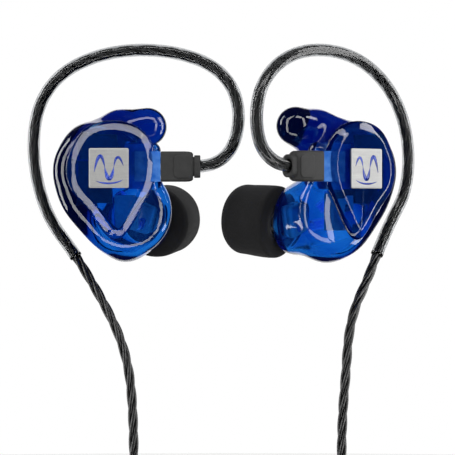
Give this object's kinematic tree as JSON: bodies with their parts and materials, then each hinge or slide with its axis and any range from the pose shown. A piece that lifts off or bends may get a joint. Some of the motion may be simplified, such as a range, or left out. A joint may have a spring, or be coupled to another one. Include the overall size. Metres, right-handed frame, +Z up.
{
  "type": "in ear monitors",
  "caption": "Pair of in ear monitors with clear blue shells, foam tips and two-pin plugs on a twisted cable with ear loops, Y-split and audio jack.",
  "frame": {"origin": "inner crest of the right ear loop, where the top of the ear carries it", "axes": "+Z up as worn, +X from the right monitor towards the left one, faceplates look towards -Y"},
  "size_m": [0.0788, 0.0403, 0.2013],
  "materials": {
    "clear_blue": "polished clear resin, tinted deep blue",
    "brushed_silver": "fine brushed satin",
    "socket_plastic": "clear moulded",
    "gold_plate": "polished gold plate",
    "driver_can": "satin drawn can",
    "circuit_board": "solder mask",
    "clear_tube": "clear soft tube",
    "wire_enamel": "enamelled",
    "nozzle_metal": "turned",
    "damper_plastic": "moulded",
    "black_foam": "fine open foam, matte",
    "core_rubber": "satin",
    "dark_plastic": "fine matte moulding",
    "black_cable": "satin twisted jacket",
    "clear_sleeve": "clear shrink tube",
    "tie_fabric": "woven hook and loop strap",
    "dark_metal": "satin anodised"
  },
  "bodies": {
    "cable": {"jack_grip": "dark_metal", "jack_insulators": "dark_plastic", "jack_relief": "core_rubber", "jack_ring_pole": "gold_plate", "jack_sleeve_pole": "gold_plate", "jack_tip_pole": "gold_plate", "left_coil_tie": "tie_fabric", "left_ear_sleeve": "clear_sleeve", "left_lead": "black_cable", "left_lead_coil": "black_cable", "left_lead_tail": "black_cable", "left_plug_housing": "dark_plastic", "left_plug_pins": "gold_plate", "main_coil": "black_cable", "main_coil_tie": "tie_fabric", "main_lead": "black_cable", "main_lead_tail": "black_cable", "right_coil_tie": "tie_fabric", "right_ear_sleeve": "clear_sleeve", "right_lead": "black_cable", "right_lead_coil": "black_cable", "right_lead_tail": "black_cable", "right_plug_housing": "dark_plastic", "right_plug_pins": "gold_plate", "y_split": "dark_metal"},
    "right_monitor": {"right_shell": "clear_blue", "right_faceplate": "clear_blue", "right_badge": "brushed_silver", "right_socket_block": "socket_plastic", "right_socket_contacts": "gold_plate", "right_socket_cup": "socket_plastic", "right_bass_driver": "driver_can", "right_mid_driver": "driver_can", "right_treble_driver": "driver_can", "right_crossover_board": "circuit_board", "right_sound_tubes": "clear_tube", "right_hookup_wires": "wire_enamel", "right_nozzle": "nozzle_metal", "right_damper": "damper_plastic", "right_nozzle_mesh": "nozzle_metal"},
    "right_ear_tip": {"right_foam_tip": "black_foam", "right_tip_core": "core_rubber"},
    "left_monitor": {"left_shell": "clear_blue", "left_faceplate": "clear_blue", "left_badge": "brushed_silver", "left_socket_block": "socket_plastic", "left_socket_contacts": "gold_plate", "left_socket_cup": "socket_plastic", "left_bass_driver": "driver_can", "left_mid_driver": "driver_can", "left_treble_driver": "driver_can", "left_crossover_board": "circuit_board", "left_sound_tubes": "clear_tube", "left_hookup_wires": "wire_enamel", "left_nozzle": "nozzle_metal", "left_damper": "damper_plastic", "left_nozzle_mesh": "nozzle_metal"},
    "left_ear_tip": {"left_foam_tip": "black_foam", "left_tip_core": "core_rubber"}
  },
  "joints": [
    {"name": "right_plug_pull", "type": "slide", "parent": "cable", "child": "right_monitor", "axis": [-1, 0, 0], "range_m": [0, 0.006]},
    {"name": "left_plug_pull", "type": "slide", "parent": "cable", "child": "left_monitor", "axis": [0.7986, 0.6018, 0], "range_m": [0, 0.006]},
    {"name": "right_tip_pull", "type": "slide", "parent": "right_monitor", "child": "right_ear_tip", "axis": [0.3243, 0.9419, 0.0872], "range_m": [0, 0.007]},
    {"name": "left_tip_pull", "type": "slide", "parent": "left_monitor", "child": "left_ear_tip", "axis": [-0.8259, 0.5571, 0.0872], "range_m": [0, 0.007]}
  ]
}
